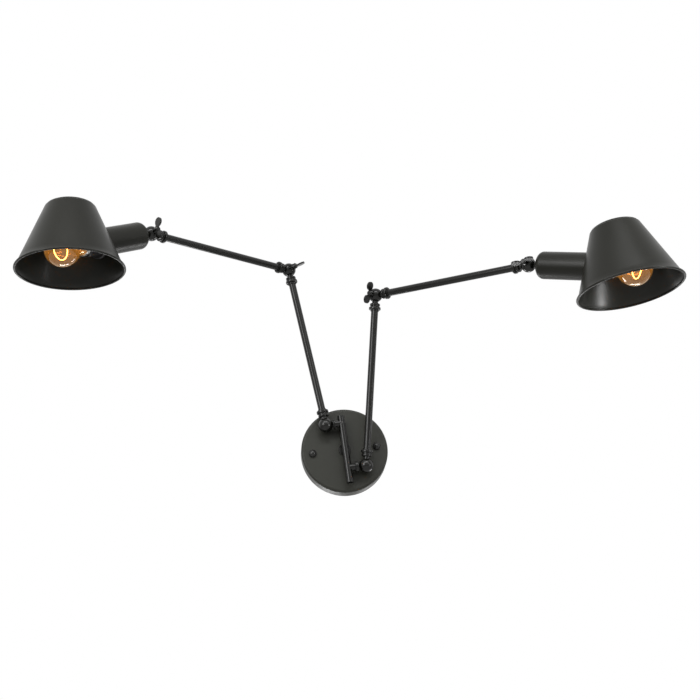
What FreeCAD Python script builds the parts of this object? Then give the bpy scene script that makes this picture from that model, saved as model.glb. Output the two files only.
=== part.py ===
import FreeCAD, Part
import math
import os
import re
import Sketcher

# Articulating wall lamp with two heads.  A round wall plate carries a short upright bar;
# a jointed arm stands on each side of the bar, and each arm ends in a socket cup with a
# flared shade.  +Z is up, the wall is the plane y = 0 and the lamp stands out towards -Y.
# The origin is the middle of the two wall screws.  Sizes are millimetres and degrees.

doc = FreeCAD.newDocument("WallLamp")
sizes = doc.addObject("Spreadsheet::Sheet", "Sizes")

DIMENSIONS = (
    # wall plate and what fixes it
    ("plate_dia", 121.5),
    ("plate_depth", 20.0),
    ("plate_wall", 1.5),
    ("plate_edge_round", 3.5),
    ("stud_spacing", 90.0),
    ("stud_dia", 4.0),
    ("stud_inset", 0.2),
    ("cap_nut_dia", 10.6),
    ("cap_nut_skirt", 2.0),
    ("cap_nut_height", 5.6),
    ("strap_length", 104.0),
    ("strap_width", 18.0),
    ("strap_thickness", 2.0),
    ("strap_window_dia", 12.0),
    ("wall_screw_spacing", 60.0),
    ("wall_slot_length", 12.0),
    ("wall_slot_width", 5.2),
    ("terminal_length", 26.0),
    ("terminal_depth", 11.0),
    ("terminal_height", 12.0),
    ("terminal_lap", 3.0),
    ("terminal_hole_dia", 3.4),
    ("terminal_pitch", 8.0),
    # post and bar
    ("post_dia", 10.0),
    ("post_bore", 6.0),
    ("post_flange_dia", 17.0),
    ("post_flange", 2.5),
    ("post_tail", 9.0),
    ("locknut_dia", 17.0),
    ("locknut_height", 4.0),
    ("bar_reach", 32.5),
    ("bar_length", 97.0),
    ("bar_drop", 2.3),
    ("plug_length", 4.0),
    ("plug_inset", 1.5),
    ("tube_dia", 10.0),
    ("tube_wall", 1.0),
    ("boss_dia", 9.4),
    ("boss_length", 5.2),
    ("pivot_dia", 6.0),
    ("pivot_groove_dia", 4.0),
    ("pivot_groove_width", 3.4),
    ("pivot_nose", 2.3),
    ("set_screw_dia", 3.0),
    ("set_screw_proud", 0.6),
    ("set_screw_socket", 0.6),
    # knuckles
    ("left_base_offset", 22.8),
    ("right_base_offset", 25.2),
    ("left_base_height", 35.2),
    ("right_base_depth", 29.3),
    ("ball_dia", 20.0),
    ("washer_thickness", 0.5),
    ("washer_dia", 16.6),
    ("hinge_dia", 4.0),
    ("hinge_depth", 6.2),
    ("seat_dia", 9.0),
    ("neck_dia", 8.6),
    ("neck_end", 12.2),
    ("neck_depth", 1.6),
    ("tube_start", 16.2),
    ("spigot_end", 27.0),
    ("running_gap", 0.05),
    ("fit_gap", 0.02),
    ("sweep_gap", 0.4),
    ("base_screw_dia", 7.4),
    ("base_screw_height", 2.6),
    ("base_screw_socket", 3.5),
    ("stub_ring_dia", 15.0),
    ("stub_neck_length", 1.0),
    # ring collars
    ("collar_end", 23.6),
    ("small_ring_dia", 14.4),
    ("small_ring_width", 3.8),
    ("collar_waist_dia", 13.0),
    ("large_ring_dia", 16.8),
    ("large_ring_width", 4.2),
    ("large_ring_start", 17.4),
    ("collar_lip_dia", 11.6),
    ("ring_round", 1.2),
    # wing screws
    ("wing_hub_dia", 8.0),
    ("wing_hub_height", 8.0),
    ("wing_hub_round", 1.5),
    ("wing_span", 31.0),
    ("wing_lobe_dia", 12.0),
    ("wing_thickness", 2.4),
    ("wing_lift", 2.6),
    ("wing_web_rise", 1.2),
    ("wing_web_back", 4.2),
    ("wing_web_front", 1.8),
    ("wing_web_crown", 1.0),
    # arms
    ("lower_arm_length", 242.0),
    ("upper_arm_length", 242.0),
    # heads
    ("head_reach", 135.4),
    ("cup_tilt", 23.0),
    ("cup_dia", 35.8),
    ("cup_wall", 1.2),
    ("cup_start", 16.6),
    ("cup_round", 7.0),
    ("cup_blank_short", 20.0),
    ("cutter_margin", 30.0),
    ("flange_dia", 13.6),
    ("flange_width", 3.0),
    ("nipple_dia", 9.9),
    ("nipple_end", 74.0),
    ("holder_start", 66.0),
    ("holder_dia", 31.6),
    ("holder_round", 2.0),
    ("skirt_start", 83.0),
    ("skirt_dia", 30.4),
    ("skirt_end", 114.0),
    ("holder_bore", 27.6),
    ("shade_ring_dia", 40.0),
    ("shade_ring_width", 4.5),
    ("shade_ring_edge", 1.0),
    ("shade_mouth_dia", 135.4),
    ("cone_base_dia", 125.4),
    ("shade_top_dia", 61.0),
    ("shade_height", 86.6),
    ("flare_height", 9.0),
    ("flare_radius", 33.0),
    ("shade_wall", 1.0),
    ("shoulder_round", 3.4),
    ("shoulder_inset", 2.38),
    ("bead_dia", 3.0),
    ("lip_join_in", 0.8),
    ("lip_join_out", 0.3),
    ("lip_join_low", 0.3),
    ("lip_join_high", 0.8),
    ("shade_hole_gap", 0.2),
    ("hole_cut_start", 20.0),
    ("axis_height", 30.3),
    # lamps
    ("bulb_dia", 45.0),
    ("bulb_past_axis", 12.2),
    ("bulb_neck_dia", 24.0),
    ("bulb_neck_length", 9.0),
    ("bulb_skin", 0.8),
    ("lamp_cap_dia", 26.4),
    ("lamp_cap_length", 22.0),
    ("lamp_cap_bevel", 2.0),
    ("thread_start", 3.0),
    ("thread_end", 5.0),
    ("lamp_cap_rim", 4.0),
    ("thread_depth", 0.9),
    ("thread_rings", 4.0),
    ("contact_dia", 9.0),
    ("contact_height", 3.0),
    ("stem_dia", 9.0),
    ("stem_length", 22.0),
    ("stem_post_dia", 3.6),
    ("stem_waist_dia", 6.0),
    ("stem_foot_height", 8.8),
    ("stem_post_start", 15.4),
    ("filament_ring_dia", 26.0),
    ("filament_dia", 1.1),
    ("filament_past_centre", 3.0),
    ("filament_turn", 300.0),
    ("lead_spread", 2.6),
    # pose of the arms: turn is counted from +X about +Z, rise is counted up from level
    ("left_lower_turn", -162.8),
    ("left_lower_rise", 84.4),
    ("left_upper_turn", -140.1),
    ("left_upper_rise", -0.4),
    ("left_cup_turn", -140.1),
    ("left_cup_rise", -22.4),
    ("left_head_roll", -5.7),
    ("right_lower_turn", -46.4),
    ("right_lower_rise", 74.7),
    ("right_upper_turn", -39.7),
    ("right_upper_rise", -11.1),
    ("right_cup_turn", -39.7),
    ("right_cup_rise", -23.4),
    ("right_head_roll", 3.9),
    ("left_elbow_wing_angle", 22.0),
    ("left_head_wing_angle", 90.0),
    ("right_elbow_wing_angle", 62.0),
    ("right_head_wing_angle", -4.0),
)

NAMES = set()
for row, (alias, number) in enumerate(DIMENSIONS, start=1):
    sizes.set("A%d" % row, alias)
    sizes.set("B%d" % row, str(number))
    sizes.setAlias("B%d" % row, alias)
    NAMES.add(alias)
doc.recompute()


def bound(text):
    """The expression with every size name pointed at its cell."""
    return re.sub(
        r"[a-z][a-z_]*",
        lambda word: "Sizes." + word.group() if word.group() in NAMES else word.group(),
        text,
    )


def value(text):
    """What an expression of sizes comes to now."""
    result = sizes.evalExpression(bound(text))
    return float(getattr(result, "Value", result))


def bind(thing, prop, text):
    """Drive a property by an expression of sizes."""
    thing.setExpression(prop, bound(text))


def body(label):
    made = doc.addObject("PartDesign::Body", label)
    made.Label = label
    return made


def sketch(owner, plane, name):
    """A sketch on one of its own body's origin planes."""
    made = owner.newObject("Sketcher::SketchObject", name)
    origin_plane = [f for f in owner.Origin.OriginFeatures if f.Role == plane][0]
    made.AttachmentSupport = [(origin_plane, "")]
    made.MapMode = "FlatFace"
    return made


def pin_point(made, geometry, end, across, up):
    """Fix one point of a sketch at two expressions, measured from the origin."""
    for kind, axis, text in (("DistanceX", -2, across), ("DistanceY", -1, up)):
        if abs(value(text)) < 1e-9:
            made.addConstraint(Sketcher.Constraint("PointOnObject", geometry, end, axis))
            continue
        number = made.addConstraint(
            Sketcher.Constraint(kind, -1, 1, geometry, end, value(text))
        )
        made.setExpression("Constraints[%d]" % number, bound(text))


def outline(made, corners):
    """A closed outline.  A corner is (across, up) where a straight edge leaves it, or
    (across, up, radius, turn) where an arc does; turn is +1 for a left-hand arc."""
    points = [FreeCAD.Vector(value(c[0]), value(c[1]), 0) for c in corners]
    first = made.GeometryCount
    ends = []
    for number, corner in enumerate(corners):
        start = points[number]
        stop = points[(number + 1) % len(points)]
        if len(corner) == 2:
            made.addGeometry(Part.LineSegment(start, stop), False)
            ends.append((1, 2))
            continue
        radius = value(corner[2])
        turn = corner[3]
        chord = stop - start
        rise = math.sqrt(max(radius**2 - (chord.Length / 2) ** 2, 0.0))
        side = FreeCAD.Vector(-chord.y, chord.x, 0).normalize() * (turn * rise)
        centre = (start + stop) * 0.5 + side
        angles = [math.atan2(p.y - centre.y, p.x - centre.x) for p in (start, stop)]
        circle = Part.Circle(centre, FreeCAD.Vector(0, 0, 1), radius)
        if turn > 0:
            made.addGeometry(Part.ArcOfCircle(circle, angles[0], angles[1]), False)
            ends.append((1, 2))
        else:
            made.addGeometry(Part.ArcOfCircle(circle, angles[1], angles[0]), False)
            ends.append((2, 1))
    count = len(corners)
    for number, corner in enumerate(corners):
        after = (number + 1) % count
        made.addConstraint(
            Sketcher.Constraint(
                "Coincident", first + number, ends[number][1], first + after, ends[after][0]
            )
        )
    for number, corner in enumerate(corners):
        pin_point(made, first + number, ends[number][0], corner[0], corner[1])
        if len(corner) == 4:
            index = made.addConstraint(
                Sketcher.Constraint("Radius", first + number, value(corner[2]))
            )
            made.setExpression("Constraints[%d]" % index, bound(corner[2]))


def axis_line(made, start, stop):
    """A construction line to turn a profile about."""
    points = [FreeCAD.Vector(value(p[0]), value(p[1]), 0) for p in (start, stop)]
    number = made.addGeometry(Part.LineSegment(points[0], points[1]), True)
    pin_point(made, number, 1, start[0], start[1])
    pin_point(made, number, 2, stop[0], stop[1])


def ring_at(made, across, up, radius):
    """A circle."""
    place = FreeCAD.Vector(value(across), value(up), 0)
    circle = Part.Circle(place, FreeCAD.Vector(0, 0, 1), value(radius))
    number = made.addGeometry(circle, False)
    pin_point(made, number, 3, across, up)
    index = made.addConstraint(Sketcher.Constraint("Radius", number, value(radius)))
    made.setExpression("Constraints[%d]" % index, bound(radius))


def turned(owner, name, corners, axis="V_Axis", plane="XZ_Plane", cut=False, line=None):
    """A turned feature: the profile goes round the sketch's own axis, or round a line."""
    profile = sketch(owner, plane, name + "_profile")
    outline(profile, corners)
    if line:
        axis_line(profile, line[0], line[1])
        axis = "Axis0"
    kind = "PartDesign::Groove" if cut else "PartDesign::Revolution"
    made = owner.newObject(kind, name)
    made.Profile = profile
    made.ReferenceAxis = (profile, [axis])
    made.Angle = 360.0
    owner.Tip = made
    return made


def pad(owner, name, plane, draw, length, both_ways=True):
    """A pad of what draw(sketch) puts in the sketch."""
    profile = sketch(owner, plane, name + "_profile")
    draw(profile)
    made = owner.newObject("PartDesign::Pad", name)
    made.Profile = profile
    bind(made, "Length", length)
    if both_ways:
        made.SideType = "Symmetric"
    owner.Tip = made
    return made


def drilled(owner, name, plane, draw):
    """Openings cut right through, both ways from the sketch."""
    profile = sketch(owner, plane, name + "_profile")
    draw(profile)
    made = owner.newObject("PartDesign::Pocket", name)
    made.Profile = profile
    made.Type = "ThroughAll"
    made.SideType = "Symmetric"
    owner.Tip = made
    return made


def frame(origin, along, across):
    """A placement whose Z runs along one direction and whose X leans to another."""
    z_dir = FreeCAD.Vector(along).normalize()
    y_dir = z_dir.cross(across).normalize()
    x_dir = y_dir.cross(z_dir)
    return FreeCAD.Placement(origin, FreeCAD.Rotation(x_dir, y_dir, z_dir, "ZXY"))


def heading(name):
    """The direction that a turn and a rise give."""
    turn = math.radians(value(name + "_turn"))
    rise = math.radians(value(name + "_rise"))
    return FreeCAD.Vector(
        math.cos(turn) * math.cos(rise), math.sin(turn) * math.cos(rise), math.sin(rise)
    )


X_DIR = FreeCAD.Vector(1, 0, 0)
Y_DIR = FreeCAD.Vector(0, 1, 0)
Z_DIR = FreeCAD.Vector(0, 0, 1)
NODES = []


def node(thing):
    """Mark a piece for export under its label."""
    NODES.append(thing)
    return thing


def copies(label, source, placements):
    """Like pieces kept as one node, each a copy of one modelled piece."""
    doc.recompute()
    made = doc.addObject("Part::Feature", label)
    made.Label = label
    shapes = []
    for placement in placements:
        shape = source.Shape.copy()
        shape.Placement = placement.multiply(shape.Placement)
        shapes.append(shape)
    made.Shape = Part.makeCompound(shapes)
    return node(made)


# ---------------------------------------------------------------- wall plate
# A shallow pressed cup, open to the wall.  It is turned about its own Z, which the
# placement points out of the wall.
OUT = frame(FreeCAD.Vector(0, 0, 0), -Y_DIR, X_DIR)

wall_plate = node(body("wall_plate"))
turned(
    wall_plate,
    "Pressing",
    [
        ("post_dia / 2 + fit_gap", "plate_depth - plate_wall"),
        ("plate_dia / 2 - plate_edge_round", "plate_depth - plate_wall",
         "plate_edge_round - plate_wall", -1),
        ("plate_dia / 2 - plate_wall", "plate_depth - plate_edge_round"),
        ("plate_dia / 2 - plate_wall", "0"),
        ("plate_dia / 2", "0"),
        ("plate_dia / 2", "plate_depth - plate_edge_round", "plate_edge_round", 1),
        ("plate_dia / 2 - plate_edge_round", "plate_depth"),
        ("post_dia / 2 + fit_gap", "plate_depth"),
    ],
)
drilled(
    wall_plate,
    "StudHoles",
    "XY_Plane",
    lambda made: [
        ring_at(made, side + "stud_spacing / 2", "0", "stud_dia / 2 + running_gap")
        for side in ("", "-")
    ],
)
wall_plate.Placement = OUT

# Flat steel strap behind the plate: two slots for the wall screws, a window for the
# supply wires and a tapped hole at each end for the plate's studs.
mounting_strap = node(body("mounting_strap"))


def round_ended(made, middle, length, width):
    """A straight outline with a full round at each end, along X."""
    run = "(" + length + " - " + width + ") / 2"
    half = width + " / 2"
    outline(
        made,
        [
            (middle + " + " + run, "-" + half, half, 1),
            (middle + " + " + length + " / 2", "0", half, 1),
            (middle + " + " + run, half),
            (middle + " - " + run, half, half, 1),
            (middle + " - " + length + " / 2", "0", half, 1),
            (middle + " - " + run, "-" + half),
        ],
    )


def strap_outline(made):
    round_ended(made, "0", "strap_length", "strap_width")


def strap_openings(made):
    round_ended(made, "wall_screw_spacing / 2", "wall_slot_length", "wall_slot_width")
    round_ended(made, "-wall_screw_spacing / 2", "wall_slot_length", "wall_slot_width")
    ring_at(made, "0", "0", "strap_window_dia / 2")
    ring_at(made, "stud_spacing / 2", "0", "stud_dia / 2 + fit_gap")
    ring_at(made, "-stud_spacing / 2", "0", "stud_dia / 2 + fit_gap")


pad(mounting_strap, "Strip", "XY_Plane", strap_outline, "strap_thickness", both_ways=False)
drilled(mounting_strap, "Openings", "XY_Plane", strap_openings)
mounting_strap.Placement = OUT

# Two studs in the strap and the two domed nuts that draw the plate to the wall.
stud = body("stud_pattern")
turned(
    stud,
    "Stud",
    [
        ("0", "stud_inset"),
        ("stud_dia / 2", "stud_inset"),
        ("stud_dia / 2", "plate_depth + cap_nut_skirt"),
        ("0", "plate_depth + cap_nut_skirt"),
    ],
)
cap_nut = body("cap_nut_pattern")
turned(
    cap_nut,
    "Dome",
    [
        ("stud_dia / 2 + fit_gap", "plate_depth"),
        ("cap_nut_dia / 2", "plate_depth"),
        ("cap_nut_dia / 2", "plate_depth + cap_nut_skirt",
         "(pow(cap_nut_dia / 2; 2) + pow(cap_nut_height - cap_nut_skirt; 2))"
         " / (2 * (cap_nut_height - cap_nut_skirt))", 1),
        ("0", "plate_depth + cap_nut_height"),
        ("0", "plate_depth + cap_nut_skirt + fit_gap"),
        ("stud_dia / 2 + fit_gap", "plate_depth + cap_nut_skirt + fit_gap"),
    ],
)
stud_places = [
    frame(X_DIR * (side * value("stud_spacing / 2")), -Y_DIR, X_DIR) for side in (-1, 1)
]
copies("plate_studs", stud, stud_places)
copies("cap_nuts", cap_nut, stud_places)

# Terminal block on the strap, below the window, drilled through for the wires.
terminal_block = node(body("terminal_block"))


def terminal_outline(made):
    low = "-strap_width / 2 - terminal_height"
    outline(
        made,
        [
            ("-terminal_length / 2", low),
            ("terminal_length / 2", low),
            ("terminal_length / 2", "terminal_lap - strap_width / 2"),
            ("-terminal_length / 2", "terminal_lap - strap_width / 2"),
        ],
    )


pad(terminal_block, "Block", "XY_Plane", terminal_outline, "terminal_depth", both_ways=False)
drilled(
    terminal_block,
    "WireHoles",
    "XZ_Plane",
    lambda made: [
        ring_at(made, across, "terminal_depth / 2", "terminal_hole_dia / 2")
        for across in ("-terminal_pitch", "0", "terminal_pitch")
    ],
)
terminal_block.Placement = FreeCAD.Placement(
    -Y_DIR * value("strap_thickness"), OUT.Rotation
)

# ---------------------------------------------------------------- post and bar
# The threaded post passes the plate, is flanged in front of it and is saddled to the
# bar; its bore carries the wires into the bar.
centre_post = node(body("centre_post"))
turned(
    centre_post,
    "Turning",
    [
        ("post_bore / 2", "plate_depth - post_tail"),
        ("post_dia / 2", "plate_depth - post_tail"),
        ("post_dia / 2", "plate_depth"),
        ("post_flange_dia / 2", "plate_depth"),
        ("post_flange_dia / 2", "plate_depth + post_flange"),
        ("post_dia / 2", "plate_depth + post_flange"),
        ("post_dia / 2", "bar_reach"),
        ("post_bore / 2", "bar_reach"),
    ],
)


def bar_round(made):
    ring_at(made, "0", "bar_reach", "tube_dia / 2 + fit_gap")


drilled(centre_post, "Saddle", "XZ_Plane", bar_round)
centre_post.Placement = OUT

post_locknut = node(body("post_locknut"))


def hexagon(made):
    radius = "locknut_dia / 2"
    outline(
        made,
        [
            (radius + " * cos(%d)" % angle, radius + " * sin(%d)" % angle)
            for angle in range(0, 360, 60)
        ],
    )


pad(post_locknut, "Hexagon", "XY_Plane", hexagon, "locknut_height", both_ways=False)
drilled(
    post_locknut,
    "Bore",
    "XY_Plane",
    lambda made: ring_at(made, "0", "0", "post_dia / 2 + fit_gap"),
)
post_locknut.Placement = FreeCAD.Placement(
    -Y_DIR * value("plate_depth - plate_wall - locknut_height"), OUT.Rotation
)

# The bar is the same tube as the arms, cut square at both ends.  It has a wire hole at
# the back, a bore on each side for the swivels and a tapped hole for each set screw.
bar_tube = node(body("bar_tube"))


def tube_section(made):
    ring_at(made, "0", "0", "tube_dia / 2")
    ring_at(made, "0", "0", "tube_dia / 2 - tube_wall")


def one_way(owner, name, plane, draw, towards_normal):
    """A bore from the sketch plane out through one wall only."""
    profile = sketch(owner, plane, name + "_profile")
    draw(profile)
    made = owner.newObject("PartDesign::Pocket", name)
    made.Profile = profile
    bind(made, "Length", "tube_dia")
    made.Reversed = towards_normal
    owner.Tip = made
    return made


pad(bar_tube, "Tube", "XY_Plane", tube_section, "bar_length")
LEFT_UP = "bar_drop + left_base_height"
RIGHT_UP = "bar_drop - right_base_depth"


def left_bore(made):
    ring_at(made, "0", LEFT_UP, "pivot_dia / 2 + running_gap")


def right_bore(made):
    ring_at(made, "0", RIGHT_UP, "pivot_dia / 2 + running_gap")


def front_tap(made):
    ring_at(made, "0", LEFT_UP, "set_screw_dia / 2 + fit_gap")


def back_holes(made):
    ring_at(made, "0", RIGHT_UP, "set_screw_dia / 2 + fit_gap")
    ring_at(made, "0", "bar_drop", "post_bore / 2")


one_way(bar_tube, "LeftBore", "YZ_Plane", left_bore, False)
one_way(bar_tube, "RightBore", "YZ_Plane", right_bore, True)
one_way(bar_tube, "FrontTap", "XZ_Plane", front_tap, True)
one_way(bar_tube, "BackHoles", "XZ_Plane", back_holes, False)
BAR = FreeCAD.Vector(0, -value("bar_reach"), -value("bar_drop"))
bar_tube.Placement = FreeCAD.Placement(BAR, FreeCAD.Rotation())

plug = body("plug_pattern")
turned(
    plug,
    "Plug",
    [
        ("0", "bar_length / 2 - plug_inset - plug_length"),
        ("tube_dia / 2 - tube_wall - fit_gap", "bar_length / 2 - plug_inset - plug_length"),
        ("tube_dia / 2 - tube_wall - fit_gap", "bar_length / 2 - plug_inset"),
        ("0", "bar_length / 2 - plug_inset"),
    ],
)
copies("bar_plugs", plug, [frame(BAR, Z_DIR, X_DIR), frame(BAR, -Z_DIR, X_DIR)])

# Side bosses, saddled to the bar, in which the arms' swivel pins turn.
boss = body("boss_pattern")
turned(
    boss,
    "Sleeve",
    [
        ("pivot_dia / 2 + running_gap", "0"),
        ("boss_dia / 2", "0"),
        ("boss_dia / 2", "tube_dia / 2 + boss_length"),
        ("pivot_dia / 2 + running_gap", "tube_dia / 2 + boss_length"),
    ],
)
drilled(
    boss,
    "Saddle",
    "XZ_Plane",
    lambda made: ring_at(made, "0", "0", "tube_dia / 2 + fit_gap"),
)
LEFT_BASE = FreeCAD.Vector(-value("left_base_offset"), BAR.y, value("left_base_height"))
RIGHT_BASE = FreeCAD.Vector(value("right_base_offset"), BAR.y, -value("right_base_depth"))
copies(
    "bar_bosses",
    boss,
    [
        frame(FreeCAD.Vector(0, BAR.y, LEFT_BASE.z), -X_DIR, Y_DIR),
        frame(FreeCAD.Vector(0, BAR.y, RIGHT_BASE.z), X_DIR, Y_DIR),
    ],
)

set_screw = body("set_screw_pattern")
turned(
    set_screw,
    "SetScrew",
    [
        ("0", "pivot_groove_dia / 2 + running_gap"),
        ("set_screw_dia / 4", "pivot_groove_dia / 2 + running_gap"),
        ("set_screw_dia / 2", "pivot_groove_dia / 2 + running_gap + set_screw_dia / 4"),
        ("set_screw_dia / 2", "tube_dia / 2 + set_screw_proud"),
        ("set_screw_dia / 4", "tube_dia / 2 + set_screw_proud"),
        ("set_screw_dia / 4", "tube_dia / 2 - set_screw_socket"),
        ("0", "tube_dia / 2 - set_screw_socket"),
    ],
)
copies(
    "set_screws",
    set_screw,
    [
        frame(FreeCAD.Vector(0, BAR.y, LEFT_BASE.z), -Y_DIR, X_DIR),
        frame(FreeCAD.Vector(0, BAR.y, RIGHT_BASE.z), Y_DIR, X_DIR),
    ],
)


# ---------------------------------------------------------------- knuckles
# Each knuckle is a ball split across its middle.  A half is turned about the hinge
# (local X), its neck about the arm (local Z), and the room in which the other half
# swings is turned away again.
def half_ball(owner, pinned):
    """The half with the seat for the screw's head, or the half that takes its thread."""
    gap = "washer_thickness / 2"
    rim = "sqrt(pow(ball_dia / 2; 2) - pow(washer_thickness / 2; 2))"
    bore = "hinge_dia / 2 + running_gap"
    if pinned:
        seat = "sqrt(pow(ball_dia / 2; 2) - pow(seat_dia / 2; 2))"
        corners = [
            (gap, bore),
            (seat, bore),
            (seat, "seat_dia / 2", "ball_dia / 2", 1),
            (gap, rim),
        ]
        sweep_from = "-ball_dia"
        sweep_to = gap
    else:
        corners = [
            ("-washer_thickness / 2", bore),
            ("-washer_thickness / 2", rim, "ball_dia / 2", 1),
            ("-ball_dia / 2", "0"),
            ("-hinge_depth - running_gap", "0"),
            ("-hinge_depth - running_gap", bore),
        ]
        sweep_from = "-washer_thickness / 2"
        sweep_to = "ball_dia"
    turned(owner, "HalfBall", corners, axis="H_Axis")
    return sweep_from, sweep_to


def swing_room(owner, sweep_from, sweep_to):
    """Clear the other half's path out of the neck."""
    turned(
        owner,
        "SwingRoom",
        [
            (sweep_from, "0"),
            (sweep_to, "0"),
            (sweep_to, "ball_dia / 2 + sweep_gap"),
            (sweep_from, "ball_dia / 2 + sweep_gap"),
        ],
        axis="H_Axis",
        cut=True,
    )


NECK_ROOT = "hinge_dia / 2 + neck_depth"


def tube_half(label, pivot, along, hinge, pinned):
    """A half knuckle whose stem is spigoted into an arm tube."""
    made = node(body(label))
    sweep = half_ball(made, pinned)
    turned(
        made,
        "Stem",
        [
            ("0", NECK_ROOT),
            ("neck_dia / 2", NECK_ROOT),
            ("neck_dia / 2", "neck_end"),
            ("tube_dia / 2", "neck_end"),
            ("tube_dia / 2", "tube_start"),
            ("tube_dia / 2 - tube_wall - fit_gap", "tube_start"),
            ("tube_dia / 2 - tube_wall - fit_gap", "spigot_end"),
            ("0", "spigot_end"),
        ],
    )
    swing_room(made, sweep[0], sweep[1])
    made.Placement = frame(pivot, along, hinge)
    return made


def swivel_half(label, pivot, along, hinge, middle):
    """The half knuckle that turns in a side boss of the bar, middle from its pivot."""
    made = node(body(label))
    sweep = half_ball(made, True)
    turned(
        made,
        "Stem",
        [
            ("0", NECK_ROOT),
            ("neck_dia / 2", NECK_ROOT),
            ("neck_dia / 2", "ball_dia / 2 + sweep_gap + stub_neck_length"),
            ("stub_ring_dia / 2", "ball_dia / 2 + sweep_gap + stub_neck_length"),
            ("stub_ring_dia / 2", middle + " - tube_dia / 2 - boss_length"),
            ("pivot_dia / 2", middle + " - tube_dia / 2 - boss_length"),
            ("pivot_dia / 2", middle + " - pivot_groove_width / 2"),
            ("pivot_groove_dia / 2", middle + " - pivot_groove_width / 2"),
            ("pivot_groove_dia / 2", middle + " + pivot_groove_width / 2"),
            ("pivot_dia / 2", middle + " + pivot_groove_width / 2"),
            ("pivot_dia / 2", middle + " + pivot_nose"),
            ("0", middle + " + pivot_nose"),
        ],
    )
    swing_room(made, sweep[0], sweep[1])
    made.Placement = frame(pivot, along, hinge)
    return made


def head_half(label, pivot, along, hinge):
    """The half knuckle whose threaded nipple carries a lamp head."""
    made = node(body(label))
    sweep = half_ball(made, False)
    turned(
        made,
        "Stem",
        [
            ("0", NECK_ROOT),
            ("neck_dia / 2", NECK_ROOT),
            ("neck_dia / 2", "cup_start - flange_width"),
            ("flange_dia / 2", "cup_start - flange_width"),
            ("flange_dia / 2", "cup_start"),
            ("nipple_dia / 2", "cup_start"),
            ("nipple_dia / 2", "nipple_end"),
            ("0", "nipple_end"),
        ],
    )
    swing_room(made, sweep[0], sweep[1])
    made.Placement = frame(pivot, along, hinge)
    return made


def washer(label, pivot, along, hinge):
    """Friction washer on the pinned half, a running gap from the half that swings."""
    made = node(body(label))
    turned(
        made,
        "Washer",
        [
            ("running_gap - washer_thickness / 2", "hinge_dia / 2 + running_gap"),
            ("washer_thickness / 2", "hinge_dia / 2 + running_gap"),
            ("washer_thickness / 2", "washer_dia / 2"),
            ("running_gap - washer_thickness / 2", "washer_dia / 2"),
        ],
        axis="H_Axis",
    )
    made.Placement = frame(pivot, along, hinge)
    return made


SEAT = "sqrt(pow(ball_dia / 2; 2) - pow(seat_dia / 2; 2))"


def base_screw(label, pivot, along, hinge):
    """Low socket-head screw that holds a base knuckle, its head on the wall side."""
    made = node(body(label))
    head_end = SEAT + " + base_screw_height"
    turned(
        made,
        "Screw",
        [
            ("-hinge_depth", "0"),
            ("-hinge_depth", "hinge_dia / 2"),
            (SEAT, "hinge_dia / 2"),
            (SEAT, "base_screw_dia / 2"),
            (head_end, "base_screw_dia / 2"),
            (head_end, "base_screw_socket / 2"),
            (head_end + " - base_screw_height / 2", "base_screw_socket / 2"),
            (head_end + " - base_screw_height / 2", "0"),
        ],
        axis="H_Axis",
    )
    made.Placement = frame(pivot, along, hinge)
    return made


def wing_screw(label, pivot, span, hinge):
    """Butterfly screw: shank and hub turned about the hinge, two rounded wings."""
    made = node(body(label))
    hub_end = SEAT + " + wing_hub_height"
    turned(
        made,
        "Shank",
        [
            ("-hinge_depth", "0"),
            ("-hinge_depth", "hinge_dia / 2"),
            (SEAT, "hinge_dia / 2"),
            (SEAT, "wing_hub_dia / 2"),
            (hub_end + " - wing_hub_round", "wing_hub_dia / 2"),
            (hub_end, "wing_hub_dia / 2 - wing_hub_round"),
            (hub_end, "0"),
        ],
        axis="H_Axis",
    )
    lobe_out = "(wing_span - wing_lobe_dia) / 2"
    lobe_up = SEAT + " + wing_lift + wing_lobe_dia / 2"

    def lobes(profile):
        ring_at(profile, lobe_up, lobe_out, "wing_lobe_dia / 2")
        ring_at(profile, lobe_up, "-" + lobe_out, "wing_lobe_dia / 2")

    def web(profile):
        inner = SEAT + " + wing_web_rise"
        outline(
            profile,
            [
                (inner, "-wing_hub_dia / 4"),
                (lobe_up + " - wing_web_back", "-" + lobe_out),
                (lobe_up + " + wing_web_front", "-" + lobe_out),
                (hub_end + " - wing_web_crown", "0"),
                (lobe_up + " + wing_web_front", lobe_out),
                (lobe_up + " - wing_web_back", lobe_out),
                (inner, "wing_hub_dia / 4"),
            ],
        )

    pad(made, "Wings", "XZ_Plane", web, "wing_thickness")
    pad(made, "Lobes", "XZ_Plane", lobes, "wing_thickness")
    made.Placement = frame(pivot, span, hinge)
    return made


# ---------------------------------------------------------------- ring collars, tubes
# The collar slips over the stem's flange and the tube's end: a small ring next to the
# knuckle, a waist, a larger ring and a thin lip on the tube.
collar = body("collar_pattern")
turned(
    collar,
    "Collar",
    [
        ("tube_dia / 2 + fit_gap", "neck_end"),
        ("small_ring_dia / 2 - ring_round", "neck_end", "ring_round", 1),
        ("small_ring_dia / 2", "neck_end + ring_round"),
        ("small_ring_dia / 2", "neck_end + small_ring_width - ring_round", "ring_round", 1),
        ("small_ring_dia / 2 - ring_round", "neck_end + small_ring_width"),
        ("collar_waist_dia / 2", "neck_end + small_ring_width"),
        ("collar_waist_dia / 2", "large_ring_start"),
        ("large_ring_dia / 2 - ring_round", "large_ring_start", "ring_round", 1),
        ("large_ring_dia / 2", "large_ring_start + ring_round"),
        ("large_ring_dia / 2", "large_ring_start + large_ring_width - ring_round", "ring_round", 1),
        ("large_ring_dia / 2 - ring_round", "large_ring_start + large_ring_width"),
        ("collar_lip_dia / 2", "large_ring_start + large_ring_width"),
        ("collar_lip_dia / 2", "collar_end"),
        ("tube_dia / 2 + fit_gap", "collar_end"),
    ],
)


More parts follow.
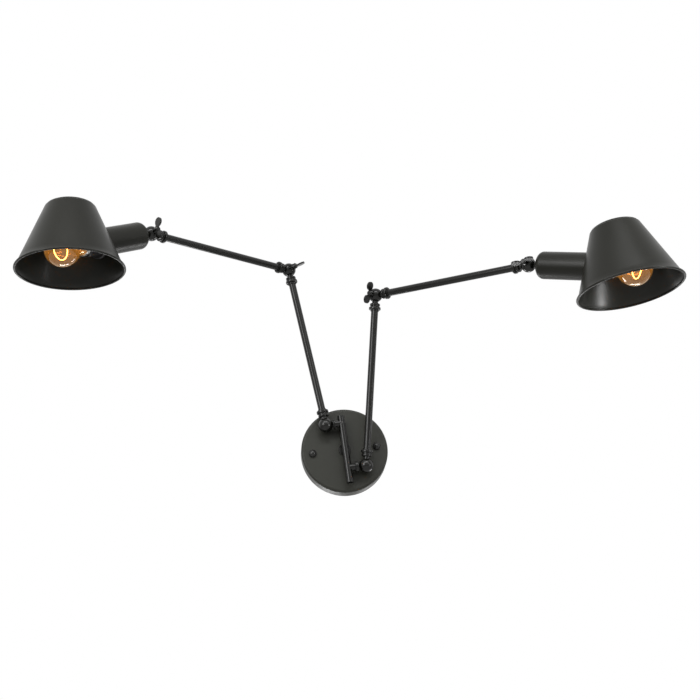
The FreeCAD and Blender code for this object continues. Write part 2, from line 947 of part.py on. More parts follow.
def arm_tube(label, start, along, length):
    """Arm tube between two knuckles, from one stem's shoulder to the other's."""
    made = node(body(label))
    turned(
        made,
        "Tube",
        [
            ("tube_dia / 2 - tube_wall", "tube_start"),
            ("tube_dia / 2", "tube_start"),
            ("tube_dia / 2", length + " - tube_start"),
            ("tube_dia / 2 - tube_wall", length + " - tube_start"),
        ],
    )
    made.Placement = frame(start, along, X_DIR)
    return made


# ---------------------------------------------------------------- heads
# A head's own Z runs from its knuckle along the socket cup; its X leans up.  The shade
# stands square to nothing: its axis leans from the cup's by the cup's tilt.
CONE_SLOPE = "((cone_base_dia - shade_top_dia) / 2 / (shade_height - flare_height))"


def on_head(radial, height):
    """Shade coordinates (towards the knuckle, up the shade) as the head's own."""
    up = "(" + height + " - axis_height)"
    return (
        "-(" + radial + ") * sin(cup_tilt) + " + up + " * cos(cup_tilt)",
        "head_reach - (" + radial + ") * cos(cup_tilt) - " + up + " * sin(cup_tilt)",
    )


def on_shade(along, aside):
    """A point along the cup's axis from the shade's axis, and aside of it."""
    return (
        "(" + along + ") * cos(cup_tilt) - (" + aside + ") * sin(cup_tilt)",
        "axis_height + (" + along + ") * sin(cup_tilt) + (" + aside + ") * cos(cup_tilt)",
    )


def socket_cup(label, place):
    """Drawn sleeve with a round back; its open end is cut to the shade's cone."""
    made = node(body(label))
    back = "cup_start + cup_round"
    inside = "(cup_dia / 2 - cup_wall)"
    turned(
        made,
        "Sleeve",
        [
            ("nipple_dia / 2 + running_gap", "cup_start"),
            ("cup_dia / 2 - cup_round", "cup_start", "cup_round", 1),
            ("cup_dia / 2", back),
            ("cup_dia / 2", "head_reach - cup_blank_short"),
            (inside, "head_reach - cup_blank_short"),
            (inside, back, "cup_round - cup_wall", -1),
            ("cup_dia / 2 - cup_round", "cup_start + cup_wall"),
            ("nipple_dia / 2 + running_gap", "cup_start + cup_wall"),
        ],
    )
    low = "-cutter_margin"
    high = "(shade_height + cutter_margin)"
    low_radius = "(cone_base_dia / 2 + fit_gap + (flare_height + cutter_margin) * " + CONE_SLOPE + ")"
    high_radius = "(shade_top_dia / 2 + fit_gap - cutter_margin * " + CONE_SLOPE + ")"
    turned(
        made,
        "SaddleEnd",
        [
            on_head("0", low),
            on_head(low_radius, low),
            on_head(high_radius, high),
            on_head("0", high),
        ],
        cut=True,
        line=(on_head("0", low), on_head("0", high)),
    )
    made.Placement = place
    return made


BULB = "(head_reach + bulb_past_axis)"
NECK_TOP = "(" + BULB + " - sqrt(pow(bulb_dia / 2; 2) - pow(bulb_neck_dia / 2; 2)))"
CAP_TOP = "(" + NECK_TOP + " - bulb_neck_length)"
HOLDER_FLOOR = "(" + CAP_TOP + " - lamp_cap_length - contact_height)"


def lampholder(label, place):
    """Screw lampholder on the nipple's end, its skirt through the shade's side."""
    made = node(body(label))
    turned(
        made,
        "Holder",
        [
            ("nipple_dia / 2 + running_gap", "holder_start"),
            ("holder_dia / 2 - holder_round", "holder_start"),
            ("holder_dia / 2", "holder_start + holder_round"),
            ("holder_dia / 2", "skirt_start"),
            ("skirt_dia / 2", "skirt_start"),
            ("skirt_dia / 2", "skirt_end"),
            ("holder_bore / 2", "skirt_end"),
            ("holder_bore / 2", HOLDER_FLOOR),
            ("0", HOLDER_FLOOR),
            ("0", "nipple_end + running_gap"),
            ("nipple_dia / 2 + running_gap", "nipple_end + running_gap"),
        ],
    )
    made.Placement = place
    return made


def shade(label, place):
    """Spun cone with a closed flat top and a flared, beaded mouth."""
    made = node(body(label))
    wall_across = "shade_wall * sqrt(1 + pow(" + CONE_SLOPE + "; 2))"
    top_in = "(shade_top_dia / 2 - " + wall_across + " + shade_wall * " + CONE_SLOPE + ")"
    lip = "(shade_mouth_dia / 2 - bead_dia / 2)"
    turned(
        made,
        "Spinning",
        [
            ("0", "shade_height - shade_wall"),
            (top_in, "shade_height - shade_wall"),
            ("cone_base_dia / 2 - " + wall_across, "flare_height", "flare_radius", 1),
            (lip + " - lip_join_in", "bead_dia / 2 + lip_join_low"),
            (lip, "bead_dia / 2"),
            (lip + " + lip_join_out", "bead_dia / 2 + lip_join_high",
             "flare_radius - shade_wall", -1),
            ("cone_base_dia / 2", "flare_height"),
            ("shade_top_dia / 2 + shoulder_round * " + CONE_SLOPE,
             "shade_height - shoulder_round"),
            ("shade_top_dia / 2 - shoulder_inset", "shade_height"),
            ("0", "shade_height"),
        ],
    )
    profile = sketch(made, "XZ_Plane", "Bead_profile")
    ring_at(profile, lip, "bead_dia / 2", "bead_dia / 2")
    bead = made.newObject("PartDesign::Revolution", "Bead")
    bead.Profile = profile
    bead.ReferenceAxis = (profile, ["V_Axis"])
    bead.Angle = 360.0
    made.Tip = bead
    hole = "(skirt_dia / 2 + shade_hole_gap)"
    near = "hole_cut_start"
    far = "shade_mouth_dia"
    turned(
        made,
        "SocketHole",
        [
            on_shade(near, "0"),
            on_shade(far, "0"),
            on_shade(far, hole),
            on_shade(near, hole),
        ],
        cut=True,
        line=(on_shade(near, "0"), on_shade(far, "0")),
    )
    made.Placement = place
    return made


def ring_seat():
    """How far from the shade's axis, along the cup's, the ring meets the cone's inside."""
    slope = value(CONE_SLOPE)
    tilt = math.radians(value("cup_tilt"))
    across = value("shade_wall") * math.sqrt(1 + slope**2)
    base = value("cone_base_dia / 2") - across
    level = base - slope * (value("axis_height") - value("flare_height"))
    aside = value("shade_ring_dia / 2")
    square = math.cos(tilt) ** 2 - (slope * math.sin(tilt)) ** 2
    linear = level * slope * math.sin(tilt)
    rest = aside**2 - level**2
    return (-linear + math.sqrt(linear**2 - square * rest)) / square


def shade_ring(label, place):
    """Threaded ring that clamps the shade from inside."""
    made = node(body(label))
    turned(
        made,
        "Ring",
        [
            ("skirt_dia / 2 + fit_gap", "0"),
            ("shade_ring_dia / 2", "0"),
            ("shade_ring_dia / 2", "shade_ring_width - shade_ring_edge"),
            ("shade_ring_dia / 2 - shade_ring_edge", "shade_ring_width"),
            ("skirt_dia / 2 + fit_gap", "shade_ring_width"),
        ],
    )
    shift = FreeCAD.Placement(
        Z_DIR * (value("head_reach + fit_gap") - ring_seat()), FreeCAD.Rotation()
    )
    made.Placement = place.multiply(shift)
    return made


def bulb_glass(label, place):
    """Thin clear globe with its short neck."""
    made = node(body(label))
    outer = "bulb_dia / 2"
    inner = "(bulb_dia / 2 - bulb_skin)"
    neck_in = "(bulb_neck_dia / 2 - bulb_skin)"
    inner_top = "(" + BULB + " - sqrt(pow(" + inner + "; 2) - pow(" + neck_in + "; 2)))"
    turned(
        made,
        "Globe",
        [
            (neck_in, CAP_TOP),
            ("bulb_neck_dia / 2", CAP_TOP),
            ("bulb_neck_dia / 2", NECK_TOP, outer, 1),
            (outer, BULB, outer, 1),
            ("0", BULB + " + " + outer),
            ("0", BULB + " + " + inner, inner, -1),
            (inner, BULB, inner, -1),
            (neck_in, inner_top),
        ],
    )
    made.Placement = place
    return made


def bulb_cap(label, place):
    """Threaded lamp cap with its end contact."""
    made = node(body(label))
    start = "(" + CAP_TOP + " - lamp_cap_length)"
    pitch = "(lamp_cap_length - thread_start - thread_end) / thread_rings"
    crest = "lamp_cap_dia / 2"
    root = "(lamp_cap_dia / 2 - thread_depth)"
    corners = [
        ("0", start + " - contact_height"),
        ("contact_dia / 2", start + " - contact_height"),
        ("contact_dia / 2", start + " - contact_height / 2"),
        (root + " - lamp_cap_bevel", start),
    ]
    for ring in range(int(value("thread_rings"))):
        foot = start + " + thread_start + " + pitch + " * %d" % ring
        corners.append((root, foot))
        corners.append((crest, foot + " + " + pitch + " / 2"))
    corners.append((root, CAP_TOP + " - thread_end"))
    corners.append((crest, CAP_TOP + " - lamp_cap_rim"))
    corners.append((crest, CAP_TOP))
    corners.append(("0", CAP_TOP))
    turned(made, "Cap", corners)
    made.Placement = place
    return made


def bulb_stem(label, place):
    """Glass mount inside the globe: a flared foot on the cap and a slim post."""
    made = node(body(label))
    turned(
        made,
        "Mount",
        [
            ("0", CAP_TOP),
            ("stem_dia / 2", CAP_TOP),
            ("stem_waist_dia / 2", CAP_TOP + " + stem_foot_height"),
            ("stem_post_dia / 2", CAP_TOP + " + stem_post_start"),
            ("stem_post_dia / 2", CAP_TOP + " + stem_length"),
            ("0", CAP_TOP + " + stem_length"),
        ],
    )
    made.Placement = place
    return made


def filament(label, place):
    """Open wire ring round the mount, carried by two lead wires."""
    made = doc.addObject("Part::MultiFuse", label)
    made.Label = label
    level = BULB + " + filament_past_centre"
    loop = doc.addObject("Part::Torus", label + "_loop")
    bind(loop, "Radius1", "filament_ring_dia / 2")
    bind(loop, "Radius2", "filament_dia / 2")
    bind(loop, "Angle3", "filament_turn")
    bind(loop, "Placement.Base.z", level)
    pieces = [loop]
    lead_foot = "(" + CAP_TOP + " + stem_post_start)"
    reach = "(filament_ring_dia / 2 - lead_spread)"
    climb = "(" + level + " - " + lead_foot + ")"
    for turn in (0.0, value("filament_turn")):
        lead = doc.addObject("Part::Cylinder", label + "_lead")
        bind(lead, "Radius", "filament_dia / 2")
        bind(lead, "Height", "sqrt(pow(" + reach + "; 2) + pow(" + climb + "; 2))")
        lean = math.degrees(math.atan2(value(reach), value(climb)))
        spin = FreeCAD.Rotation(Z_DIR, turn)
        lead.Placement = FreeCAD.Placement(
            spin.multVec(X_DIR * value("lead_spread")) + Z_DIR * value(lead_foot),
            spin.multiply(FreeCAD.Rotation(Y_DIR, lean)),
        )
        pieces.append(lead)
    made.Shapes = pieces
    made.Placement = place
    return node(made)


def head_frame(pivot, cup_heading, roll):
    """The head's own axes: Z along the cup, X leaning up, rolled about the cup."""
    upright = frame(pivot, cup_heading, Z_DIR)
    return upright.multiply(
        FreeCAD.Placement(FreeCAD.Vector(), FreeCAD.Rotation(Z_DIR, roll))
    )


def shade_frame(place):
    """The shade's own axes: origin in the middle of its mouth, X towards the knuckle."""
    tilt = value("cup_tilt")
    turn = FreeCAD.Rotation(
        FreeCAD.Vector(-math.sin(math.radians(tilt)), 0, -math.cos(math.radians(tilt))),
        FreeCAD.Vector(),
        FreeCAD.Vector(math.cos(math.radians(tilt)), 0, -math.sin(math.radians(tilt))),
        "ZXY",
    )
    up = turn.multVec(Z_DIR)
    mouth = Z_DIR * value("head_reach") - up * value("axis_height")
    return place.multiply(FreeCAD.Placement(mouth, turn))


# ---------------------------------------------------------------- the two arms
def span_direction(hinge, angle):
    """The way a wing screw's wings point: level at 0, counted round the hinge."""
    level = hinge.cross(Z_DIR).normalize()
    return FreeCAD.Rotation(hinge, angle).multVec(level)


def arm(side, base, to_bar, front):
    """One whole arm, from the swivel in the bar to the lamp.  front is the sense, 1 or
    -1, that brings the wing screws to the room side of the arm."""
    lower = heading(side + "_lower")
    upper = heading(side + "_upper")
    cup = heading(side + "_cup")
    elbow = base + lower * value("lower_arm_length")
    head = elbow + upper * value("upper_arm_length")
    base_hinge = lower.cross(X_DIR).normalize()
    elbow_hinge = lower.cross(upper).normalize() * front
    head_hinge = upper.cross(cup).normalize() * front

    swivel_half(side + "_base_swivel", base, to_bar, base_hinge, side + "_base_offset")
    washer(side + "_base_washer", base, to_bar, base_hinge)
    base_screw(side + "_base_screw", base, to_bar, base_hinge)
    tube_half(side + "_lower_foot", base, lower, base_hinge, False)
    arm_tube(side + "_lower_tube", base, lower, "lower_arm_length")
    copies(
        side + "_lower_collars",
        collar,
        [frame(base, lower, X_DIR), frame(elbow, -lower, X_DIR)],
    )
    tube_half(side + "_lower_top", elbow, -lower, elbow_hinge, True)
    washer(side + "_elbow_washer", elbow, -lower, elbow_hinge)
    span = span_direction(elbow_hinge, value(side + "_elbow_wing_angle"))
    wing_screw(side + "_elbow_wing", elbow, span, elbow_hinge)

    tube_half(side + "_upper_foot", elbow, upper, elbow_hinge, False)
    arm_tube(side + "_upper_tube", elbow, upper, "upper_arm_length")
    copies(
        side + "_upper_collars",
        collar,
        [frame(elbow, upper, Z_DIR), frame(head, -upper, Z_DIR)],
    )
    tube_half(side + "_upper_top", head, -upper, head_hinge, True)
    washer(side + "_head_washer", head, -upper, head_hinge)
    span = span_direction(head_hinge, value(side + "_head_wing_angle"))
    wing_screw(side + "_head_wing", head, span, head_hinge)

    head_half(side + "_head_knuckle", head, cup, head_hinge)
    place = head_frame(head, cup, value(side + "_head_roll"))
    socket_cup(side + "_socket_cup", place)
    lampholder(side + "_lampholder", place)
    shade(side + "_shade", shade_frame(place))
    shade_ring(side + "_shade_ring", place)
    bulb_glass(side + "_bulb_glass", place)
    bulb_cap(side + "_bulb_cap", place)
    bulb_stem(side + "_bulb_stem", place)
    filament(side + "_filament", place)
    for name, point, axis in (
        ("base swivel", base, X_DIR),
        ("base hinge", base, base_hinge),
        ("elbow hinge", elbow, elbow_hinge),
        ("head hinge", head, head_hinge),
        ("head swivel", head, cup),
    ):
        print(side, name, [round(c, 3) for c in point], [round(c, 5) for c in axis])


arm("left", LEFT_BASE, X_DIR, 1)
arm("right", RIGHT_BASE, -X_DIR, -1)

# ---------------------------------------------------------------- write the pieces
doc.recompute()
for thing in doc.Objects:
    if "Invalid" in thing.State or "Error" in thing.State:
        raise RuntimeError("%s did not build: %s" % (thing.Name, thing.State))
os.makedirs("parts", exist_ok=True)
for thing in NODES:
    shape = thing.Shape
    if shape.isNull() or not shape.isValid():
        raise RuntimeError("%s has no valid shape" % thing.Label)
    shape.exportStep("parts/%s.step" % thing.Label)
print(len(NODES), "pieces written")
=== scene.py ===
import math

import bpy
from mathutils import Matrix, Vector

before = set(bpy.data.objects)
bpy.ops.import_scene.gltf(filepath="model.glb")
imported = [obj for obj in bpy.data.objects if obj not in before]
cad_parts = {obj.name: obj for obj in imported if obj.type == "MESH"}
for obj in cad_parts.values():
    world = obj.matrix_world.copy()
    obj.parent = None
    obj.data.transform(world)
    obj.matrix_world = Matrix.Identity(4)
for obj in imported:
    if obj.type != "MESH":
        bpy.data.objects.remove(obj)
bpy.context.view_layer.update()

# ---------------------------------------------------------------- wall plate
# The plate is a shallow cup pressed from sheet steel, open to the wall.  It is finished in
# satin black powder coat, which lies a little thick and shows a fine orange peel.
# Two domed nuts on hidden studs draw it against the wall.
COAT_BLACK = (0.0155, 0.016, 0.011, 1.0)
COAT_ROUGHNESS = 0.5
PEEL_GRAIN = 0.0011
PEEL_RISE = 0.000012
NOISE_DETAIL = 2.0
NOISE_LOW, NOISE_HIGH = 0.3, 0.7
EDGE_EASE = 0.0004
EDGE_SAMPLES = 4
CREASE = math.radians(32)


def new_material(name, colour, roughness, metallic=0.0, specular=0.5):
    """A material with its even values on the shader's own sockets."""
    material = bpy.data.materials.new(name)
    material.use_nodes = True
    shader = material.node_tree.nodes["Principled BSDF"]
    shader.inputs["Base Color"].default_value = colour
    shader.inputs["Roughness"].default_value = roughness
    shader.inputs["Metallic"].default_value = metallic
    shader.inputs["Specular IOR Level"].default_value = specular
    return material, shader


def object_noise(material, grain):
    """Noise fixed to the piece, with features about one grain, in metres, across."""
    nodes, links = material.node_tree.nodes, material.node_tree.links
    place = nodes.new("ShaderNodeTexCoord")
    noise = nodes.new("ShaderNodeTexNoise")
    noise.inputs["Scale"].default_value = 1 / grain
    noise.inputs["Detail"].default_value = NOISE_DETAIL
    links.new(place.outputs["Object"], noise.inputs["Vector"])
    return noise


def vary_roughness(material, shader, smoothest, roughest, grain):
    """Let the gloss drift between two values in soft patches."""
    nodes, links = material.node_tree.nodes, material.node_tree.links
    patches = object_noise(material, grain)
    spread = nodes.new("ShaderNodeMapRange")
    spread.inputs["From Min"].default_value = NOISE_LOW
    spread.inputs["From Max"].default_value = NOISE_HIGH
    spread.inputs["To Min"].default_value = smoothest
    spread.inputs["To Max"].default_value = roughest
    links.new(patches.outputs["Fac"], spread.inputs["Value"])
    links.new(spread.outputs["Result"], shader.inputs["Roughness"])


def raise_grain(material, shader, grain, rise, ease):
    """Fine unevenness of the surface, over edges eased by a small radius."""
    nodes, links = material.node_tree.nodes, material.node_tree.links
    noise = object_noise(material, grain)
    bump = nodes.new("ShaderNodeBump")
    bump.inputs["Strength"].default_value = 1.0
    bump.inputs["Distance"].default_value = rise
    links.new(noise.outputs["Fac"], bump.inputs["Height"])
    if ease:
        edge = nodes.new("ShaderNodeBevel")
        edge.samples = EDGE_SAMPLES
        edge.inputs["Radius"].default_value = ease
        links.new(edge.outputs["Normal"], bump.inputs["Normal"])
    links.new(bump.outputs["Normal"], shader.inputs["Normal"])


def dress(name, material):
    """Give a CAD node its finish, with its round faces shaded round."""
    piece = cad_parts[name]
    piece.data.materials.clear()
    piece.data.materials.append(material)
    for face in piece.data.polygons:
        face.use_smooth = True
    piece.data.set_sharp_from_angle(angle=CREASE)


powder_coat, shader = new_material("satin powder coat", COAT_BLACK, COAT_ROUGHNESS, specular=0.35)
vary_roughness(powder_coat, shader, smoothest=0.44, roughest=0.54, grain=0.03)
raise_grain(powder_coat, shader, PEEL_GRAIN, PEEL_RISE, EDGE_EASE)
dress("wall_plate", powder_coat)

NUT_ENAMEL = (0.012, 0.012, 0.011, 1.0)
nut_enamel, shader = new_material("cap nut enamel", NUT_ENAMEL, roughness=0.22, specular=0.35)
raise_grain(nut_enamel, shader, grain=0.0009, rise=0.000006, ease=0.0003)
dress("cap_nuts", nut_enamel)

# ---------------------------------------------------------------- behind the plate
# A flat strap of zinc-plated strip is screwed to the wall and carries the two studs.
# The post's locknut is zinc-plated too; the zinc is pale, slightly blue and cloudy.
ZINC = (0.4, 0.41, 0.42, 1.0)
zinc_plate, shader = new_material("zinc plate", ZINC, roughness=0.34, metallic=1.0)
vary_roughness(zinc_plate, shader, smoothest=0.26, roughest=0.46, grain=0.006)
raise_grain(zinc_plate, shader, grain=0.0008, rise=0.000004, ease=0.0002)
for name in ("mounting_strap", "plate_studs", "post_locknut"):
    dress(name, zinc_plate)

# The terminal block is a strip of white nylon, moulded with one tunnel for each wire.
NYLON_WHITE = (0.78, 0.77, 0.72, 1.0)
NYLON_MILKINESS = 0.08
NYLON_DEPTH = (0.002, 0.002, 0.0016)
nylon, shader = new_material("moulded nylon", NYLON_WHITE, roughness=0.45)
shader.inputs["Subsurface Weight"].default_value = NYLON_MILKINESS
shader.inputs["Subsurface Radius"].default_value = NYLON_DEPTH
raise_grain(nylon, shader, grain=0.0012, rise=0.000008, ease=0.0004)
dress("terminal_block", nylon)

# ---------------------------------------------------------------- post and bar
# The post screws through the plate and is saddled to an upright bar of the arms' own tube,
# with a plug in each end and a boss on each side for an arm.  All of it is enamelled in
# a black with more gloss than the plate's.
ENAMEL_BLACK = (0.0045, 0.0045, 0.0035, 1.0)
arm_enamel, shader = new_material("arm enamel", ENAMEL_BLACK, roughness=0.18, specular=0.33)
vary_roughness(arm_enamel, shader, smoothest=0.15, roughest=0.21, grain=0.02)
raise_grain(arm_enamel, shader, grain=0.0014, rise=0.000006, ease=EDGE_EASE)
for name in ("centre_post", "bar_tube", "bar_plugs", "bar_bosses"):
    dress(name, arm_enamel)

# Small socket screws in the bar hold each arm's swivel pin by its groove; they are plain
# blackened steel.
SCREW_STEEL = (0.09, 0.088, 0.085, 1.0)
black_steel, shader = new_material("blackened steel", SCREW_STEEL, roughness=0.38, metallic=1.0)
raise_grain(black_steel, shader, grain=0.0006, rise=0.000004, ease=0.0002)
dress("set_screws", black_steel)

# ---------------------------------------------------------------- the two arms
# Each arm is two lengths of 10 mm steel tube between knuckles.  A knuckle is a ball cast in
# two halves with a fibre washer between them, and a ringed collar covers each joint of
# knuckle and tube.  Castings and tubes are enamelled together.
SIDES = ("left", "right")
ARM_PIECES = (
    "base_swivel", "lower_foot", "lower_tube", "lower_collars", "lower_top",
    "upper_foot", "upper_tube", "upper_collars", "upper_top", "head_knuckle",
)
for side in SIDES:
    for piece in ARM_PIECES:
        dress(side + "_" + piece, arm_enamel)

FIBRE_BROWN = (0.045, 0.036, 0.028, 1.0)
fibre, shader = new_material("vulcanised fibre", FIBRE_BROWN, roughness=0.7)
raise_grain(fibre, shader, grain=0.0005, rise=0.00002, ease=0.0)
for side in SIDES:
    for piece in ("base_washer", "elbow_washer", "head_washer"):
        dress(side + "_" + piece, fibre)

# The elbows and heads are clamped by cast wing screws, enamelled like the arms but worn a
# little smoother by fingers; the knuckles at the bar have low socket screws.
wing_enamel, shader = new_material("wing screw enamel", ENAMEL_BLACK, roughness=0.2, specular=0.36)
vary_roughness(wing_enamel, shader, smoothest=0.17, roughest=0.27, grain=0.005)
raise_grain(wing_enamel, shader, grain=0.0018, rise=0.00001, ease=0.0005)
for side in SIDES:
    dress(side + "_elbow_wing", wing_enamel)
    dress(side + "_head_wing", wing_enamel)
    dress(side + "_base_screw", black_steel)

# ---------------------------------------------------------------- socket cups and shades
# Cup and shade are spun and drawn from thin steel sheet and powder coated like the plate,
# the shade black inside as well.  The cup's open end is cut to the shade's cone.
SHADE_BLACK = (0.009, 0.009, 0.006, 1.0)
SPUN_EDGE_EASE = 0.0009
shade_coat, shader = new_material("shade powder coat", SHADE_BLACK, roughness=0.34, specular=0.24)
vary_roughness(shade_coat, shader, smoothest=0.3, roughest=0.38, grain=0.04)
raise_grain(shade_coat, shader, PEEL_GRAIN, PEEL_RISE, SPUN_EDGE_EASE)
for side in SIDES:
    dress(side + "_socket_cup", shade_coat)
    dress(side + "_shade", shade_coat)

# The lampholder and the ring that clamps the shade from inside are black phenolic
# mouldings, with the even low sheen of the tool.
PHENOLIC = (0.018, 0.017, 0.017, 1.0)
phenolic, shader = new_material("phenolic moulding", PHENOLIC, roughness=0.36)
raise_grain(phenolic, shader, grain=0.002, rise=0.00001, ease=0.0003)
for side in SIDES:
    dress(side + "_lampholder", phenolic)
    dress(side + "_shade_ring", phenolic)

# ---------------------------------------------------------------- bulbs
# Globe bulbs: a blown envelope of clear, warmly tinted glass with a glass mount inside, a
# threaded metal cap and a ring of glowing wire on two leads.
GLASS_TINT = (1.0, 0.78, 0.46, 1.0)
GLASS_IOR = 1.46
GLOW = (1.0, 0.38, 0.1, 1.0)
GLOW_STRENGTH = 15.0
# A painted glow on the glass itself, brightest at the wire's height and fainter towards the
# globe's end.
PAINTED_GLASS_GLOW = (1.0, 0.46, 0.09, 1.0)
GLOW_FADE = 0.02
GLOW_ABOVE_WIRE = GLOW_FADE / 3
PAINTED_GLOW_IN_GLASS = 0.085
GLOW_AT_END = PAINTED_GLOW_IN_GLASS / 3


def clear_glass(name, tint, roughness):
    """A glass that lets light through, with its even values on the shader's own sockets."""
    material, shader = new_material(name, tint, roughness)
    shader.inputs["Transmission Weight"].default_value = 1.0
    shader.inputs["IOR"].default_value = GLASS_IOR
    return material, shader


def bulb_glass(side):
    """Tinted glass with a painted glow of the wire's light on it, fading towards the globe's end.
    """
    material, shader = clear_glass(side + " bulb glass", GLASS_TINT, roughness=0.0)
    shader.inputs["Emission Color"].default_value = PAINTED_GLASS_GLOW
    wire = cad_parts[side + "_filament"].data.vertices
    wire_height = sum(point.co.z for point in wire) / len(wire)
    nodes, links = material.node_tree.nodes, material.node_tree.links
    place = nodes.new("ShaderNodeTexCoord")
    split = nodes.new("ShaderNodeSeparateXYZ")
    fade = nodes.new("ShaderNodeMapRange")
    fade.inputs["From Min"].default_value = wire_height - GLOW_FADE
    fade.inputs["From Max"].default_value = wire_height + GLOW_ABOVE_WIRE
    fade.inputs["To Min"].default_value = GLOW_AT_END
    fade.inputs["To Max"].default_value = PAINTED_GLOW_IN_GLASS
    links.new(place.outputs["Object"], split.inputs[0])
    links.new(split.outputs["Z"], fade.inputs["Value"])
    links.new(fade.outputs["Result"], shader.inputs["Emission Strength"])
    return material


MOUNT_TINT = (1.0, 0.97, 0.92, 1.0)
mount_glass, shader = clear_glass("mount glass", MOUNT_TINT, roughness=0.05)
CAP_ALLOY = (0.72, 0.71, 0.69, 1.0)
cap_alloy, shader = new_material("lamp cap alloy", CAP_ALLOY, roughness=0.28, metallic=1.0)
raise_grain(cap_alloy, shader, grain=0.001, rise=0.000004, ease=0.0002)
WIRE_METAL = (0.3, 0.25, 0.2, 1.0)
hot_wire, shader = new_material("hot wire", WIRE_METAL, roughness=0.5)
shader.inputs["Emission Color"].default_value = GLOW
shader.inputs["Emission Strength"].default_value = GLOW_STRENGTH
for side in SIDES:
    dress(side + "_bulb_glass", bulb_glass(side))
    dress(side + "_bulb_stem", mount_glass)
    dress(side + "_bulb_cap", cap_alloy)
    dress(side + "_filament", hot_wire)

# ---------------------------------------------------------------- room, light, camera
# The lamp hangs free in front of a white surround, over a pale floor that is well below
# it.  Soft boxes at the sides and above draw the bright line along each tube, and two cards
# behind and a strip at the right pick out the globes and the right shade's inner wall.
FLOOR_LEVEL = -1.0
FLOOR_SIZE = 24.0
FLOOR_PAINT = (0.8, 0.8, 0.79, 1.0)
FLOOR_PALE = 0.35
WHITE = (1.0, 1.0, 1.0, 1.0)
ROOM_LIGHT = 0.14
ROOM_WHITE = 1.0


def seen_or_mirrored(nodes, links):
    """One for rays that see a surface, also by reflection or through glass, and else zero."""
    path = nodes.new("ShaderNodeLightPath")
    seen = path.outputs["Is Camera Ray"]
    for kind in ("Is Transmission Ray", "Is Glossy Ray"):
        either = nodes.new("ShaderNodeMath")
        either.operation = "MAXIMUM"
        links.new(seen, either.inputs[0])
        links.new(path.outputs[kind], either.inputs[1])
        seen = either.outputs[0]
    return seen


bpy.ops.mesh.primitive_plane_add(size=FLOOR_SIZE, location=(0, 0, FLOOR_LEVEL))
floor = bpy.context.object
floor.name = "floor"
floor_paint, shader = new_material("pale floor", FLOOR_PAINT, roughness=0.8)
nodes, links = floor_paint.node_tree.nodes, floor_paint.node_tree.links
lift = nodes.new("ShaderNodeMath")
lift.operation = "MULTIPLY"
lift.inputs[1].default_value = FLOOR_PALE
links.new(seen_or_mirrored(nodes, links), lift.inputs[0])
shader.inputs["Emission Color"].default_value = WHITE
links.new(lift.outputs[0], shader.inputs["Emission Strength"])
floor.data.materials.append(floor_paint)

world = bpy.data.worlds.new("white surround")
bpy.context.scene.world = world
world.use_nodes = True
nodes, links = world.node_tree.nodes, world.node_tree.links
room_light = nodes["Background"]
room_light.inputs["Color"].default_value = WHITE
room_light.inputs["Strength"].default_value = ROOM_LIGHT
seen_white = nodes.new("ShaderNodeBackground")
seen_white.inputs["Color"].default_value = WHITE
seen_white.inputs["Strength"].default_value = ROOM_WHITE
choice = nodes.new("ShaderNodeMixShader")
links.new(seen_or_mirrored(nodes, links), choice.inputs["Fac"])
links.new(room_light.outputs[0], choice.inputs[1])
links.new(seen_white.outputs[0], choice.inputs[2])
links.new(choice.outputs[0], nodes["World Output"].inputs["Surface"])

MIDDLE = Vector((0.0, -0.12, 0.15))
LEFT_SHADE = Vector((-0.33, -0.27, 0.2))
RIGHT_SHADE = Vector((0.34, -0.28, 0.1))


def soft_box(name, place, width, height, power, target, spread):
    """A rectangular soft light, seen only by what it lights."""
    light = bpy.data.lights.new(name, "AREA")
    light.shape = "RECTANGLE"
    light.size = width
    light.size_y = height
    light.energy = power
    light.spread = math.radians(spread)
    lamp = bpy.data.objects.new(name, light)
    bpy.context.scene.collection.objects.link(lamp)
    lamp.location = place
    lamp.rotation_euler = (target - Vector(place)).to_track_quat("-Z", "Y").to_euler()
    lamp.visible_camera = False


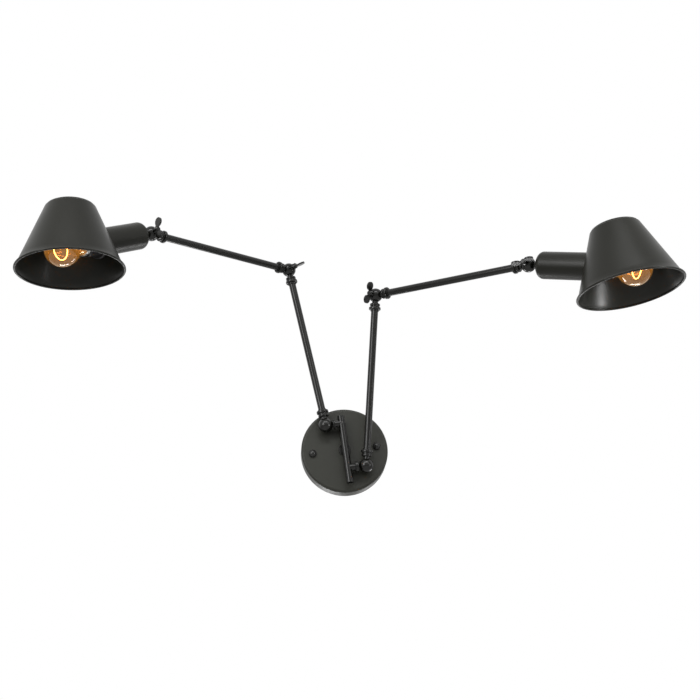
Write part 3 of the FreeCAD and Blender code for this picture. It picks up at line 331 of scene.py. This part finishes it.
# Name, place, width, height, power in watts, what the light faces, spread in degrees.
SOFT_BOXES = (
    ("left soft box", (-1.35, -1.5, 0.6), 0.8, 1.3, 21, MIDDLE, 180),
    ("high soft box", (0.0, -1.65, 1.45), 2.0, 0.45, 24, MIDDLE, 180),
    ("right soft box", (1.4, -1.6, 0.6), 0.6, 0.9, 5, MIDDLE, 180),
    ("left card behind", (-0.42, 0.9, -0.44), 0.62, 0.22, 4.5, LEFT_SHADE, 180),
    ("right card behind", (0.62, 0.9, -0.56), 0.62, 0.22, 4.5, RIGHT_SHADE, 180),
    ("right strip", (1.1, -0.75, -0.2), 0.3, 0.35, 0.25, RIGHT_SHADE, 22),
)
for soft_light in SOFT_BOXES:
    soft_box(*soft_light)

# The camera stands low in front of the lamp, a little to its left, looks up at it and is
# rolled slightly, as in the photograph.
PHOTO_WIDTH = 700
FOCAL_PIXELS = 1180.1
SENSOR_WIDTH = 36.0
VIEW_AZIMUTH = math.radians(6.775)
VIEW_RISE = math.radians(21.383)
VIEW_ROLL = math.radians(-8.612)
VIEW_DISTANCE = 1.728
AIM = Vector((0.0308, 0.0, 0.1564))

forward = Vector(
    (
        math.sin(VIEW_AZIMUTH) * math.cos(VIEW_RISE),
        math.cos(VIEW_AZIMUTH) * math.cos(VIEW_RISE),
        math.sin(VIEW_RISE),
    )
)
level_right = forward.cross(Vector((0, 0, 1))).normalized()
level_up = level_right.cross(forward)
right = level_right * math.cos(VIEW_ROLL) + level_up * math.sin(VIEW_ROLL)
up = level_up * math.cos(VIEW_ROLL) - level_right * math.sin(VIEW_ROLL)

view = bpy.data.cameras.new("photograph view")
view.sensor_width = SENSOR_WIDTH
view.lens = FOCAL_PIXELS / PHOTO_WIDTH * SENSOR_WIDTH
camera = bpy.data.objects.new("photograph view", view)
bpy.context.scene.collection.objects.link(camera)
axes = Matrix((right, up, -forward)).transposed().to_4x4()
camera.matrix_world = Matrix.Translation(AIM - forward * VIEW_DISTANCE) @ axes
bpy.context.scene.camera = camera
bpy.context.scene.view_settings.view_transform = "Standard"
